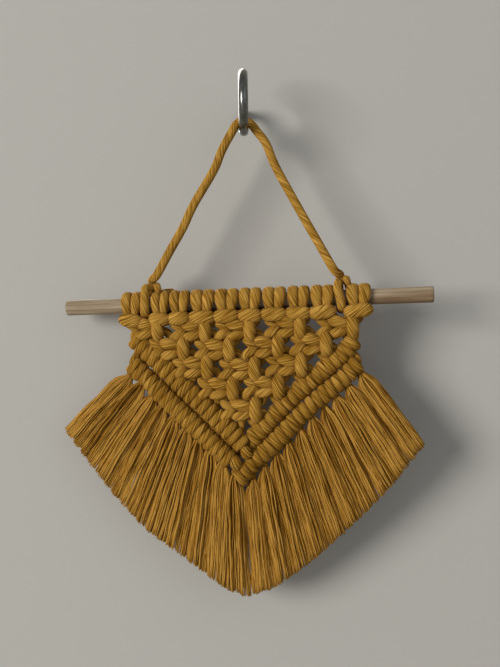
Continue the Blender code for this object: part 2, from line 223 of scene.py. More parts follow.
# Where the left bands' cores show in front between the tips of the bands.
TIP_LINKS = (
    (
        (-1.4, -1.0, -59.2, 1.6, 1.4, 0.0, -1.0, 0.0),
        (-0.7, -4.6, -60.6, 2.3, 1.7, 0.0, -1.0, 0.0),
        (-0.4, -4.6, -61.6, 2.3, 1.7, 0.0, -1.0, 0.0),
        (0.4, -1.0, -62.8, 1.5, 1.4, 0.0, -1.0, 0.0),
        (-2.6, 1.6, -62.0, 1.4, 1.2, 0.0, -1.0, 0.0),
    ),
    (
        (-5.8, -1.0, -63.2, 1.6, 1.4, 0.0, -1.0, 0.0),
        (-5.1, -4.4, -64.8, 2.3, 1.7, 0.0, -1.0, 0.0),
        (-4.7, -4.4, -65.9, 2.3, 1.7, 0.0, -1.0, 0.0),
        (-3.8, -1.0, -67.2, 1.5, 1.4, 0.0, -1.0, 0.0),
    ),
)

# Fringe: narrow top of each bundle, and where the cut line runs, from outside to the middle.
FRINGE = {
    "fringe_left": {
        "tops": (
            (-48.8, -30.6),
            (-43.85, -33.4),
            (-38.9, -38.3),
            (-34.9, -42.4),
            (-30.1, -46.9),
            (-25.3, -51.5),
            (-20.7, -56.4),
            (-16.1, -60.6),
            (-10.9, -65.6),
            (-6.4, -71.5),
        ),
        "cut": (
            (-76.6, -51.2),
            (-69.3, -60.6),
            (-60.8, -72.6),
            (-50.1, -85.0),
            (-41.6, -94.0),
            (-29.4, -102.0),
            (-19.3, -109.8),
            (-8.7, -117.6),
            (-0.2, -119.6),
        ),
    },
    "fringe_right": {
        "tops": (
            (45.9, -30.6),
            (40.7, -35.1),
            (35.6, -39.4),
            (31.0, -43.6),
            (25.9, -48.0),
            (21.2, -52.6),
            (16.2, -57.3),
            (11.5, -62.4),
            (6.6, -68.0),
            (1.8, -73.2),
        ),
        "cut": (
            (70.3, -57.8),
            (57.8, -73.8),
            (44.3, -87.3),
            (25.5, -104.4),
            (10.3, -115.4),
            (0.6, -118.6),
        ),
    },
}
YARNS = 88
CLUMP = 8  # yarns that run together
CLUMP_WAVES = (14.0, 24.0)  # length of a clump's waves
CLUMP_SWAY = (0.16, 0.12)  # across the bundle, and towards the front
YARN_WAVES = (12.0, 20.0)
YARN_SWAY = (0.05, 0.06)
SWAY_START = 14.0  # length over which the waves grow
YARN_RADII = (0.25, 0.34)
YARN_SIDES = 5
YARN_STEPS = 18
CORD_END_HALF = 1.1  # half width of a bundle where it comes out of its cord
BUNDLE_TOP_HALF = 1.95
BUNDLE_TOP_HALF_DEPTH = 1.7
BUNDLE_FULLER = (0.12, 1.6)  # share of the way down, and swell past straight sides there
BUNDLE_MIDDLE = (0.5, 0.7)

HOOK_WIRE = 3.8
HOOK_RING_RADIUS = 11.4
HOOK_RING_DEPTH = 23.0
HOOK_BEND_RADIUS = 3.0
HOOK_TIP_PAST_TOP = 23.0  # degrees
HOOK_TIP_EASE = 1.3  # length over which the wire's end is rounded off
HOOK_SIDES = 40
HOOK_STEP = 0.6

HANGER_LEGS = (
    # x, y, z in the row's frame
    (-36.2, -21.0, -68.8),
    (-30.6, -21.4, -59.0),
    (-25.3, -21.8, -50.0),
    (-20.7, -22.0, -40.6),
    (-12.4, -22.5, -27.0),
    (-8.9, -22.8, -18.9),
    (-4.9, -23.0, -11.9),
    (-2.8, -23.0, -8.6),
    (0.0, -23.0, -7.4),
    (2.8, -23.0, -8.6),
    (5.2, -23.0, -11.6),
    (8.9, -23.2, -16.8),
    (12.7, -23.8, -26.5),
    (21.3, -25.2, -43.0),
    (29.4, -26.6, -58.0),
    (35.0, -28.0, -68.2),
)

# Backdrop and camera, in metres and degrees.
WALL_Y = 0.0004
WALL_TOP = 0.75
WALL_FOOT = -0.30
SWEEP_RADIUS = 0.2
SWEEP_STEPS = 12
FLOOR_FRONT = -1.6
BACKDROP_HALF_WIDTH = 1.2
CAMERA_SPOT = (0.00115, -0.423, -0.0931)
CAMERA_ROLL = -0.93
CAMERA_LENS = 53.5412  # millimetres, for a sensor 36 mm long


def smooth_route(stations, step):
    """Rows about step apart along a smooth curve through the stations. Every column is smoothed."""
    rows = np.array(stations, float)
    before = np.vstack([2 * rows[0] - rows[1], rows[:-1]])
    after = np.vstack([rows[1:], 2 * rows[-1] - rows[-2]])
    fine = []
    for index in range(len(rows) - 1):
        part = np.linspace(0, 1, CURVE_STEPS + 1)[:-1, None]
        near, far = rows[index], rows[index + 1]
        low = (far - before[index]) / 2
        high = (after[index + 1] - near) / 2
        fine.append(
            near * (2 * part**3 - 3 * part**2 + 1)
            + low * (part**3 - 2 * part**2 + part)
            + far * (3 * part**2 - 2 * part**3)
            + high * (part**3 - part**2)
        )
    fine = np.vstack([*fine, rows[-1:]])
    lengths = np.r_[0, np.cumsum(np.linalg.norm(np.diff(fine[:, :3], axis=0), axis=1))]
    count = max(2, round(lengths[-1] / step))
    wanted = np.linspace(0, lengths[-1], count + 1)
    return np.stack([np.interp(wanted, lengths, column) for column in fine.T], axis=1), wanted


def carried_normals(points):
    """Tangents, and normals that turn as little as they can along the points."""
    tangents = np.gradient(points, axis=0)
    tangents /= np.linalg.norm(tangents, axis=1)[:, None]
    normals = np.empty_like(points)
    seed = np.array((0.0, -1.0, 0.0))
    if abs(tangents[0] @ seed) > 0.9:
        seed = np.array((1.0, 0.0, 0.0))
    for index, tangent in enumerate(tangents):
        seed = seed - tangent * (seed @ tangent)
        seed /= np.linalg.norm(seed)
        normals[index] = seed
    return tangents, normals


class Skin:
    """Points, faces and texture coordinates of one piece, gathered from many tubes."""

    def __init__(self):
        self.points = []
        self.faces = []
        self.uvs = []
        self.tones = []
        self.count = 0

    def add_rings(self, rings, along, tone_and_shade, caps=(False, False), shift=0.0):
        """A tube through rings of points. U runs once round it, V is millimetres along it."""
        steps, sides = rings.shape[:2]
        ring = np.arange(steps - 1)[:, None] * sides
        side = np.arange(sides)[None, :]
        after = (side + 1) % sides
        corners = np.stack([ring + side, ring + after, ring + sides + after, ring + sides + side], -1)
        across = np.stack([side, side + 1, side + 1, side], -1) / sides
        across = np.broadcast_to(across, (steps - 1, sides, 4))
        down = np.stack([along[:-1], along[:-1], along[1:], along[1:]], -1)[:, None, :] + shift
        down = np.broadcast_to(down, (steps - 1, sides, 4))
        self.faces.extend((corners.reshape(-1, 4) + self.count).tolist())
        self.uvs.append(np.stack([across, down], -1).reshape(-1, 2))
        for cap, row, order in ((caps[0], 0, -1), (caps[1], steps - 1, 1)):
            if cap:
                loop = (np.arange(sides)[::order] + row * sides + self.count).tolist()
                self.faces.append(loop)
                spot = np.full((sides, 2), 0.5)
                spot[:, 1] = along[row] + shift
                self.uvs.append(spot)
        self.points.append(rings.reshape(-1, 3))
        self.tones.append(np.full(steps * sides, tone_and_shade))
        self.count += steps * sides

    def make(self, name, material, replaced, slot, place=HANGING):
        """The piece as an object. Its points are in the frame that place says."""
        points = np.vstack(self.points)
        matrix = np.array(place)
        points = (points @ matrix[:3, :3].T + matrix[:3, 3]) * MM
        mesh = bpy.data.meshes.new(name)
        mesh.from_pydata(points.tolist(), [], self.faces)
        layer = mesh.uv_layers.new(name="yarn")
        layer.data.foreach_set("uv", np.vstack(self.uvs).astype(np.float32).ravel())
        # Random tone per yarn, and painted shade per piece.
        tone_and_shade = mesh.attributes.new("tone_and_shade", "FLOAT", "POINT")
        tone_and_shade.data.foreach_set("value", np.concatenate(self.tones).astype(np.float32))
        mesh.shade_smooth()
        mesh.materials.append(material)
        return add_piece(name, mesh, replaced)


def add_object(name, data):
    obj = bpy.data.objects.new(name, data)
    bpy.context.scene.collection.objects.link(obj)
    return obj


def add_piece(name, mesh, replaced):
    obj = add_object(name, mesh)
    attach(obj, "root")
    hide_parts(*replaced)
    return obj


def rope_rings(route, lengths, start=0.0):
    """Rings of a twisted cord, whose twist starts at start radians.

    The route's columns are x, y, z, half width, half depth, and outward x, y, z.
    """
    points = route[:, :3]
    tangents, normals = carried_normals(points)
    others = np.cross(tangents, normals)
    outward = route[:, 5:8] / np.linalg.norm(route[:, 5:8], axis=1)[:, None]
    angles = 2 * np.pi * np.arange(CORD_SIDES) / CORD_SIDES
    turned = angles[None, :] + start + 2 * np.pi * lengths[:, None] / TWIST_PITCH
    spokes = np.cos(turned)[..., None] * normals[:, None] + np.sin(turned)[..., None] * others[:, None]
    facing = np.einsum("ijk,ik->ij", spokes, outward) ** 2
    wide = route[:, 3:4]
    deep = route[:, 4:5]
    power = CORD_BOXINESS / 2
    inverse = facing**power / deep**CORD_BOXINESS + (1 - facing) ** power / wide**CORD_BOXINESS
    reach = inverse ** (-1 / CORD_BOXINESS)
    reach = reach * (1 - LOBE_DEPTH * (0.5 - 0.5 * np.cos(angles * CORD_LOBES)))[None, :]
    return points[:, None] + spokes * reach[..., None]


def round_rings(path, radii, sides):
    """Rings of a plain round tube along the path."""
    tangents, normals = carried_normals(path)
    others = np.cross(tangents, normals)
    angles = 2 * np.pi * np.arange(sides) / sides
    spokes = np.cos(angles)[None, :, None] * normals[:, None]
    spokes = spokes + np.sin(angles)[None, :, None] * others[:, None]
    return path[:, None] + radii[:, None, None] * spokes


def dowel_height(x):
    return x * math.tan(math.radians(DOWEL_TILT))


def head_half(x, width, bar_z, slope, side):
    """Stations from the middle of a lark's head's bar to where its cord leaves the knot."""
    strand = side * width * 0.25
    edge = side * (width / 2 - 1.75)
    rise = dowel_height(x)
    wide = width * 0.262
    rows = (
        # along, back, up, half width, half depth, outward y, outward z
        (0.0, -5.6, bar_z, 2.9, 1.9, -1.0, -0.1),
        (edge * 0.9, -5.3, bar_z + slope * edge * 0.9, 2.85, 1.85, -1.0, -0.1),
        (edge * 1.2, -3.8, bar_z + slope * edge, 2.6, 1.6, -0.8, -0.5),
        (edge * 1.05, -0.8, -5.4, 1.7, 1.3, 0.0, -1.0),
        (strand * 1.1, 2.6, -4.0, 2.0, 1.2, 0.6, -0.8),
        (strand, 4.35, -0.6, wide, 1.2, 1.0, 0.0),
        (strand, 3.1, 3.1, wide, 1.2, 0.7, 0.7),
        (strand, 0.0, 4.3, wide * 0.96, 1.35, 0.0, 1.0),
        (strand * 1.04, -3.1, 3.3, wide * 1.04, 1.5, -0.7, 0.7),
        (strand * 1.02, -4.6, 0.7, wide * 1.0, 1.55, -1.0, 0.0),
        (strand * 0.84, -4.3, -2.0, wide * 0.82, 1.45, -1.0, -0.1),
        (strand * 0.72, -2.7, -5.4, 1.5, 1.2, -1.0, 0.0),
    )
    return [
        (x + along, back, rise + up, half, deep, 0.0, out_y, out_z)
        for along, back, up, half, deep, out_y, out_z in rows
    ]


def knot_stations(middle, role):
    x, z = middle
    rows = []
    for right, back, up, wide, deep in role:
        rows.append((x + right, NET_DEPTH + back, z + up, wide, deep, 0.0, -1.0, 0.0))
    return rows


def net_stations(cord):
    """The square knots that cord 0 to 19 goes through."""
    rows = []
    for depth, knots in enumerate(KNOTS):
        place = cord - 2 * depth
        if 0 <= place < 4 * len(knots):
            role = KNOT_ROLES[place % 4]
            if cord == 0:
                role = role[:-2] + LEFT_EDGE_EXIT
            elif cord == 19:
                role = role[:-2] + RIGHT_EDGE_EXIT
            rows.extend(knot_stations(knots[place // 4], role))
    return rows


class Band:
    """The middle line of a band, and the hitches round it."""

    def __init__(self, name):
        facts = BANDS[name]
        stations = [(x, BAND_DEPTH, z) for x, z in facts["line"]]
        self.points, self.lengths = smooth_route(stations, 0.4)
        self.pitch = self.lengths[-1] / facts["hitches"]
        self.lean = facts["lean"]
        self.across = facts["across"]

    def at(self, along):
        """Middle, direction, and upward side of the band."""
        place = min(max(along, 0.0), self.lengths[-1])
        middle = np.array([np.interp(place, self.lengths, column) for column in self.points.T])
        ends = [
            np.array([np.interp(spot, self.lengths, column) for column in self.points.T])
            for spot in (max(place - 1.5, 0.0), min(place + 1.5, self.lengths[-1]))
        ]
        direction = (ends[1] - ends[0]) / np.linalg.norm(ends[1] - ends[0])
        middle = middle + direction * (along - place)
        up = np.cross(direction, (0.0, 1.0, 0.0))
        return middle, direction, up if up[2] > 0 else -up

    def hitch(self, index, rng):
        """Stations of a double half hitch: in at the top, twice up across the front, out below."""
        rows = []
        first = (2 * index + 0.5) * self.pitch
        swell = 1 + rng.uniform(*WRAP_SWELL)
        # Degrees round the core: 0 and 360 are the front, 90 the top, 180 the back.
        for degrees in range(135, 966, 45):
            angle = math.radians(degrees)
            wrap = min(max(round((degrees - 360) / 360), 0), 1)
            across_front = abs(degrees - 360 - 360 * wrap) <= 90
            if across_front:
                along = first + self.pitch * (wrap - self.lean * math.sin(angle))
            else:
                along = first + self.pitch * min(max((degrees - 495) / 90, 0.0), 1.0)
            middle, _, up = self.at(along)
            outward = np.array((0.0, -1.0, 0.0)) * math.cos(angle) + up * math.sin(angle)
            behind = math.cos(angle) < -0.3
            wide = WRAP_HALF_WIDTH * (WRAP_BEHIND[0] if behind else swell)
            deep = WRAP_HALF_DEPTH * (WRAP_BEHIND[1] if behind else 1.0)
            offset = np.array((0.0, -WRAP_RADIUS_DEPTH, 0.0)) * math.cos(angle)
            offset = offset + up * (self.across * math.sin(angle))
            rows.append((*(middle + offset * swell), wide, deep, *outward))
        return rows

    def core(self):
        """Stations of the cord that the hitches are tied round."""
        rows = []
        for along in np.linspace(0.0, 1.0, CORE_STATIONS):
            middle, _, _ = self.at(along * self.lengths[-1])
            rows.append((*middle, CORE_RADIUS, CORE_RADIUS, 0.0, -1.0, 0.0))
        return rows


def cord_routes():
    """Each cord's stations after its lark's head, with the piece that each station belongs to."""
    rng = random.Random(5)
    bands = {name: Band(name) for name in BANDS}
    routes = []
    for cord in range(20):
        left = cord < 10
        side = "left" if left else "right"
        inner = bands[f"band_{side}_inner"]
        outer = bands[f"band_{side}_outer"]
        from_edge = cord if left else 19 - cord
        route = [(row, "knotted_net") for row in net_stations(cord)]
        if from_edge == 0:
            route += [(row, f"band_{side}_inner") for row in inner.core()]
            if left:
                route += [(row, "band_left_inner") for row in TIP_LINKS[0]]
            route += [(row, f"band_{side}_outer") for row in outer.hitch(8, rng)]
            bundle = 8
        elif from_edge == 1:
            route += [(row, f"band_{side}_inner") for row in inner.hitch(0, rng)]
            route += [(row, f"band_{side}_outer") for row in outer.core()]
            bundle = 9
            if left:
                route += [(row, "band_left_outer") for row in TIP_LINKS[1]]
                tip = bands["band_right_outer"]
                route += [(row, "band_right_outer") for row in tip.hitch(9, rng)]
        else:
            route += [(row, f"band_{side}_inner") for row in inner.hitch(from_edge - 1, rng)]
            route += [(row, f"band_{side}_outer") for row in outer.hitch(from_edge - 2, rng)]
            bundle = from_edge - 2
        top_x, top_z = FRINGE[f"fringe_{side}"]["tops"][bundle]
        last = route[-1][1]
        lean = 1.2 if left else -1.2
        route.append(((top_x + lean, 0.6, top_z + 3.2, 1.6, 1.4, 0.0, -1.0, 0.0), last))
        route.append(((top_x + lean / 4, -0.4, top_z + 0.9, 1.55, 1.45, 0.0, -1.0, 0.0), last))
        routes.append((route, side, bundle))
    return routes


def add_cords(skins):
    """All ten working cords, cut where they pass from one piece to the next. Returns their ends."""
    routes = cord_routes()
    ends = {}
    total = 0.0
    for index, (x, width, bar_z, slope) in enumerate(LARK_HEADS):
        head = f"lark_head_{index + 1:02d}"
        left_route, left_side, left_bundle = routes[2 * index]
        right_route, right_side, right_bundle = routes[2 * index + 1]
        left = [(row, head) for row in head_half(x, width, bar_z, slope, -1)] + left_route
        right = [(row, head) for row in head_half(x, width, bar_z, slope, 1)] + right_route
        whole = list(reversed(left)) + right[1:]
        names = sorted({name for _, name in whole})
        marks = [names.index(name) for _, name in whole]
        stations = [(*row, mark) for (row, _), mark in zip(whole, marks)]
        route, lengths = smooth_route(stations, CORD_STEP)
        nearest = nearest_marks(stations, route)
        rings = rope_rings(route, lengths, start=index * TWIST_STEP)
        start = 0
        for end in range(1, len(nearest) + 1):
            if end == len(nearest) or nearest[end] != nearest[start]:
                last = min(end + 1, len(nearest))
                caps = (start == 0, end == len(nearest))
                skins[names[nearest[start]]].add_rings(
                    rings[start:last], lengths[start:last], piece_painted_shade(names[nearest[start]]), caps
                )
                start = end
        ends[(left_side, left_bundle)] = route[0, :3]
        ends[(right_side, right_bundle)] = route[-1, :3]
        total += lengths[-1]
    print(f"working cords: {total:.0f} mm in all")
    return ends


def piece_painted_shade(name):
    """Painted shade: the cord's colour is darker in the net, and darker still in the bands, where the
    knots pack close.
    """
    if name.startswith("lark_head"):
        return PLAIN_TONE
    return NET_PAINTED_SHADE if name == "knotted_net" else BAND_PAINTED_SHADE


def nearest_marks(stations, route):
    """For each row of the route, the piece of the station before it along the cord."""
    marks = [station[-1] for station in stations]
    spots = []
    index = 0
    for row in route:
        while index < len(stations) - 1:
            here = np.linalg.norm(np.array(stations[index][:3]) - row[:3])
            ahead = np.linalg.norm(np.array(stations[index + 1][:3]) - row[:3])
            if ahead > here:
                break
            index += 1
        spots.append(marks[index])
    return spots


def cut_point(cut, share):
    """The point that share of the way along the cut line."""
    line = np.array(cut)
    lengths = np.r_[0, np.cumsum(np.linalg.norm(np.diff(line, axis=0), axis=1))]
    wanted = share * lengths[-1]
    return np.array([np.interp(wanted, lengths, column) for column in line.T])


def sideways(line, low, high):
    """The level direction across a bundle, pointing from its low edge to its high edge."""
    aside = np.cross(line, (0.0, 1.0, 0.0))
    aside /= np.linalg.norm(aside)
    along_cut = np.array((high[0] - low[0], 0.0, high[1] - low[1]))
    return aside if aside @ along_cut > 0 else -aside


def draw_clump(rng):
    """What the yarns of one clump share."""
    return {
        "pull": rng.uniform(-0.015, 0.015),
        "depth": rng.uniform(-0.6, 0.6),
        "phase": rng.uniform(0, 6.28),
        "wave": rng.uniform(*CLUMP_WAVES),
    }


def yarn_stations(start, top, sides, across, depth, past):
    """A yarn's points from inside its cord's end to the cut, and its bundle's sideways direction.

    Sides are where the bundle's two edges meet the cut line. Across runs from -1 to 1 over the
    bundle's width, depth from -1 to 1 through it, and past is how far the yarn goes past the cut.
    """
    low, high = sides
    round_off = math.sqrt(max(0.0, 1 - across**2))
    depth = depth * (0.15 + 0.85 * round_off)
    cut = low + (high - low) * (0.5 + 0.49 * across)
    reach = cut - top[[0, 2]]
    cut = cut + reach / np.linalg.norm(reach) * past
    end = np.array((cut[0], 0.2 - 1.2 * round_off + 1.1 * depth, cut[1]))
    line = (end - top) / np.linalg.norm(end - top)
    aside = sideways(line, low, high)
    inside = start + aside * across * CORD_END_HALF
    inside[1] += depth * CORD_END_HALF
    waist = top + line * 1.2 + aside * across * BUNDLE_TOP_HALF
    waist[1] += depth * BUNDLE_TOP_HALF_DEPTH
    hanging = end - waist
    fuller = waist + hanging * BUNDLE_FULLER[0] + aside * across * BUNDLE_FULLER[1]
    fuller[1] -= 0.4
    middle = waist + hanging * BUNDLE_MIDDLE[0] + aside * across * BUNDLE_MIDDLE[1]
    middle[1] -= 0.1 + 1.2 * round_off
    middle[2] += 0.018 * np.linalg.norm(hanging) * abs(line[0])
    return [inside, waist, fuller, middle, end], aside


def swayed(path, along, aside, clump, rng):
    """The path with its clump's waves, and finer ones of its own."""
    grow = np.clip(along / SWAY_START, 0, 1)
    phase = 2 * np.pi * along / clump["wave"] + clump["phase"]
    own = 2 * np.pi * along / rng.uniform(*YARN_WAVES) + rng.uniform(0, 6.28)
    sway = grow * (CLUMP_SWAY[0] * np.sin(phase) + YARN_SWAY[0] * np.sin(own))
    path = path + aside[None, :] * sway[:, None]
    path[:, 1] += grow * (CLUMP_SWAY[1] * np.cos(phase) + YARN_SWAY[1] * np.cos(own))
    return path


def add_fringe(skin, name, ends):
    """Combed-out yarns, bundle by bundle. The yarns of a clump run side by side to the cut."""
    rng = random.Random(name)
    facts = FRINGE[name]
    side = name.split("_")[1]
    count = len(facts["tops"])
    places = np.linspace(0, 1, YARN_STEPS + 1)
    for bundle, (top_x, top_z) in enumerate(facts["tops"]):
        top = np.array((top_x, -0.8, top_z))
        sides = [cut_point(facts["cut"], (bundle + edge) / count) for edge in (0, 1)]
        for yarn in range(YARNS):
            if yarn % CLUMP == 0:
                clump = draw_clump(rng)
            share = (yarn + 0.5) / YARNS + clump["pull"] + rng.uniform(-0.03, 0.03)
            across = min(max(2 * share - 1, -1.05), 1.05)
            depth = min(max(clump["depth"] + rng.uniform(-0.6, 0.6), -1), 1)
            past = rng.uniform(-0.5, 0.6) + 0.25 * math.sin(yarn // CLUMP)
            stations, aside = yarn_stations(ends[(side, bundle)], top, sides, across, depth, past)
            path, lengths = smooth_route(stations, 1.0)
            along = places * lengths[-1]
            path = np.stack([np.interp(along, lengths, column) for column in path.T], axis=1)
            path = swayed(path, along, aside, clump, rng)
            radii = np.clip((1 - places) * 14, 0.6, 1.0) * rng.uniform(*YARN_RADII)
            rings = round_rings(path, radii, YARN_SIDES)
            skin.add_rings(rings, along, rng.random(), (False, True), shift=rng.uniform(0, 40))


def hanger_knot(strand, foot, bump, tail):
    """From the tail to the leg's foot: over the foot, down in front of the dowel and up behind it.

    Strand is where it crosses the dowel's top and foot edges (x, x), foot is the leg's foot (x, z),
    bump is the loop that shows beside it (x, z) and tail is where the end lies (x, z).
    """
    top_x, low_x = strand
    turn = DOWEL_RADIUS + 1.6
    rise = dowel_height(low_x)
    middle_x = (top_x + low_x) / 2
    rows = (
        # x, back, z, half width, half depth, outward y, outward z
        (tail[0], 2.6, tail[1], 1.1, 0.8, 0.0, 1.0),
        ((bump[0] + tail[0]) / 2, 2.4, tail[1] - 0.4, 1.5, 1.1, 0.0, 1.0),
        (bump[0] + 0.6, 0.8, bump[1] - 2.6, 1.4, 1.4, 0.0, 1.0),
        (bump[0] + 0.3, -2.2, bump[1] - 1.2, 1.5, 1.5, -1.0, 0.3),
        (bump[0] - 0.1, -2.4, bump[1] + 0.3, 1.5, 1.5, -0.7, 0.7),
        ((bump[0] + foot[0]) / 2 + 0.4, -0.6, bump[1] + 0.2, 1.4, 1.4, 0.0, 1.0),
        (foot[0] - 0.6, -2.6, foot[1] - 2.6, 1.6, 1.5, -0.4, 0.9),
        (top_x + 0.2, -4.2, foot[1] - 3.2, 1.7, 1.6, -0.8, 0.6),
        (top_x, -4.9, 3.6 + rise, 1.75, 1.6, -1.0, 0.1),
        (middle_x, -turn, 0.6 + rise, 1.85, 1.55, -1.0, 0.0),
        (low_x, -turn, -2.0 + rise, 1.85, 1.55, -1.0, 0.0),
        (low_x, -0.72 * turn, -0.8 * turn + rise, 1.8, 1.5, -0.7, -0.7),
        (low_x, 0.0, -turn + rise, 1.8, 1.5, 0.0, -1.0),
        (middle_x, 0.72 * turn, -0.72 * turn + rise, 1.8, 1.5, 0.7, -0.7),
        (middle_x, turn, rise, 1.8, 1.5, 1.0, 0.0),
        (top_x + 0.6, 0.72 * turn, 0.72 * turn + rise, 1.7, 1.5, 0.7, 0.7),
        (foot[0] - 0.4, 1.4, foot[1] - 1.9, 1.7, 1.6, 0.0, 1.0),
        (foot[0], -0.4, foot[1] + 0.6, 1.7, 1.65, -1.0, 0.0),
    )
    stations = []
    for x, back, z, wide, deep, out_y, out_z in rows:
        point = HANGING @ Vector((x, back, z))
        stations.append((*point, wide, deep, 0.0, out_y, out_z))
    return stations


def add_hanger(material):
    legs = [(*row, 1.75, 1.75, 0.0, -1.0, 0.0) for row in HANGER_LEGS]
    left = hanger_knot((-41.1, -41.3), (-38.8, 9.0), (-36.4, 6.6), (-30.6, 5.2))
    right = hanger_knot((37.0, 38.4), (38.0, 9.4), (40.6, 7.7), (43.5, 3.6))
    stations = left + legs + list(reversed(right))
    route, lengths = smooth_route(stations, CORD_STEP)
    skin = Skin()
    skin.add_rings(rope_rings(route, lengths), lengths, PLAIN_TONE, (True, True))
    print(f"hanger cord: {lengths[-1]:.0f} mm")
    return skin.make("hanger_strand", material, ["hanger_cord"], "cotton", Matrix.Identity(4))


def hook_arc(middle, radius, start, end):
    """Points of an arc in the hook's plane. Its middle is y, z, and its angles are degrees."""
    steps = max(2, round(abs(math.radians(end - start)) * radius / HOOK_STEP))
    angles = np.radians(np.linspace(start, end, steps + 1))
    return [(0.0, middle[0] + radius * math.cos(a), middle[1] + radius * math.sin(a)) for a in angles]


def add_hook(material):
    reach = math.sqrt(HOOK_RING_RADIUS**2 + 2 * HOOK_RING_RADIUS * HOOK_BEND_RADIUS)
    bend_y = reach - HOOK_RING_DEPTH
    turn = math.degrees(math.atan2(HOOK_BEND_RADIUS, reach))
    bend = hook_arc((bend_y, -HOOK_BEND_RADIUS), HOOK_BEND_RADIUS, 90, 180 - turn)
    ring = hook_arc((-HOOK_RING_DEPTH, 0), HOOK_RING_RADIUS, -turn, -270 - HOOK_TIP_PAST_TOP)
    route = np.array([(0.0, 0.0, 0.0), (0.0, bend_y / 2, 0.0), *bend, *ring[1:]])
    lengths = np.r_[0, np.cumsum(np.linalg.norm(np.diff(route, axis=0), axis=1))]
    radii = np.full(len(route), HOOK_WIRE / 2)
    left = np.clip((lengths[-1] - lengths) / HOOK_TIP_EASE, 0.0, 1.0)
    radii *= np.sqrt(1 - (1 - left) ** 2 * 0.92)
    skin = Skin()
    skin.add_rings(round_rings(route, radii, HOOK_SIDES), lengths, PLAIN_TONE, (True, True))
    return skin.make("screw_hook_wire", material, ["screw_hook"], "steel", Matrix.Identity(4))


def add_dowel(wood, end_grain):
    """The dowel as a turned rod with eased ends and a little wander in its radius."""
    sides = DOWEL_SIDES
    half = DOWEL_LENGTH / 2
    eased = np.array((0.0, 0.3 * DOWEL_EASE, DOWEL_EASE))
    places = np.linspace(-half, half, DOWEL_STEPS + 1)[1:-1]
    places = np.r_[eased - half, places, half - eased[::-1]]
    edge = np.clip((half - np.abs(places)) / DOWEL_EASE, 0.0, 1.0)
    radii = DOWEL_RADIUS - DOWEL_EASE + DOWEL_EASE * np.sqrt(1 - (1 - edge) ** 2)
    angles = 2 * np.pi * np.arange(sides) / sides
    wander = 0.03 * np.sin(places[:, None] / 13 + 2 * angles) + 0.02 * np.sin(places[:, None] / 5.3)
    reach = radii[:, None] + wander * edge[:, None]
    rings = np.stack(
        [
            np.broadcast_to(places[:, None], reach.shape),
            reach * np.cos(angles),
            reach * np.sin(angles),
        ],
        -1,
    )
    points = (rings.reshape(-1, 3) * MM).tolist()
    faces = []
    for step in range(len(places) - 1):
        for side in range(sides):
            after = (side + 1) % sides
            low, high = step * sides, (step + 1) * sides
            faces.append((low + side, high + side, high + after, low + after))
    last = (len(places) - 1) * sides
    faces.append(list(range(sides)))
    faces.append([last + side for side in reversed(range(sides))])
    mesh = bpy.data.meshes.new("dowel_rod")
    mesh.from_pydata(points, [], faces)
    mesh.shade_smooth()
    mesh.set_sharp_from_angle(angle=math.radians(50))
    mesh.materials.append(wood)
    mesh.materials.append(end_grain)
    for face in mesh.polygons[-2:]:
        face.material_index = 1
    obj = add_object("dowel_rod", mesh)
    place = HANGING.copy()
    place.translation = place.translation * MM
    obj.matrix_world = place @ Matrix.Rotation(math.radians(-DOWEL_TILT), 4, "Y")
    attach(obj, "root")
    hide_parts("dowel")
    return obj


class Nodes:
    """Short calls for a material's node tree."""

    def __init__(self, name):
        self.material = bpy.data.materials.new(name)
        self.material.use_nodes = True
        self.tree = self.material.node_tree
        self.shader = self.tree.nodes["Principled BSDF"]

    def add(self, kind, **values):
        node = self.tree.nodes.new(kind)
        for key, value in values.items():
            setattr(node, key, value)
        return node

    def link(self, source, target):
        self.tree.links.new(source, target)

    def ramp(self, source, *stops):
        node = self.tree.nodes.new("ShaderNodeValToRGB")
        elements = node.color_ramp.elements
        while len(elements) < len(stops):
            elements.new(0.5)
        for element, (place, colour) in zip(elements, stops):
            element.position = place
            element.color = (*colour, 1.0)
        self.link(source, node.inputs["Fac"])
        return node.outputs["Color"]

    def mapped(self, source, scale, rotation=(0, 0, 0)):
        node = self.tree.nodes.new("ShaderNodeMapping")
        node.inputs["Scale"].default_value = scale
        node.inputs["Rotation"].default_value = rotation
        self.link(source, node.inputs["Vector"])
        return node.outputs["Vector"]

    def noise(self, vector, scale, detail=4.0, roughness=0.55):
        node = self.tree.nodes.new("ShaderNodeTexNoise")
        node.inputs["Scale"].default_value = scale
        node.inputs["Detail"].default_value = detail
        node.inputs["Roughness"].default_value = roughness
        self.link(vector, node.inputs["Vector"])
        return node.outputs["Fac"]

    def axis(self, vector, name):
        node = self.tree.nodes.new("ShaderNodeSeparateXYZ")
        self.link(vector, node.inputs["Vector"])
        return node.outputs[name]

    def math(self, operation, first, second):
        node = self.tree.nodes.new("ShaderNodeMath")
        node.operation = operation
        for socket, value in zip(node.inputs, (first, second)):
            if isinstance(value, (int, float)):
                socket.default_value = value
            else:
                self.link(value, socket)
        return node.outputs["Value"]

    def mix(self, factor, first, second, blend="MIX"):
        node = self.tree.nodes.new("ShaderNodeMix")
        node.data_type = "RGBA"
        node.blend_type = blend
        for place, value in ((0, factor), (6, first), (7, second)):
            socket = node.inputs[place]
            if isinstance(value, (int, float)):
                socket.default_value = value
            elif isinstance(value, tuple):
                socket.default_value = (*value, 1.0)
            else:
                self.link(value, socket)
        return node.outputs[2]

    def bump(self, height, strength, distance):
        node = self.tree.nodes.new("ShaderNodeBump")
        node.inputs["Strength"].default_value = strength
        node.inputs["Distance"].default_value = distance
        self.link(height, node.inputs["Height"])
        return node.outputs["Normal"]


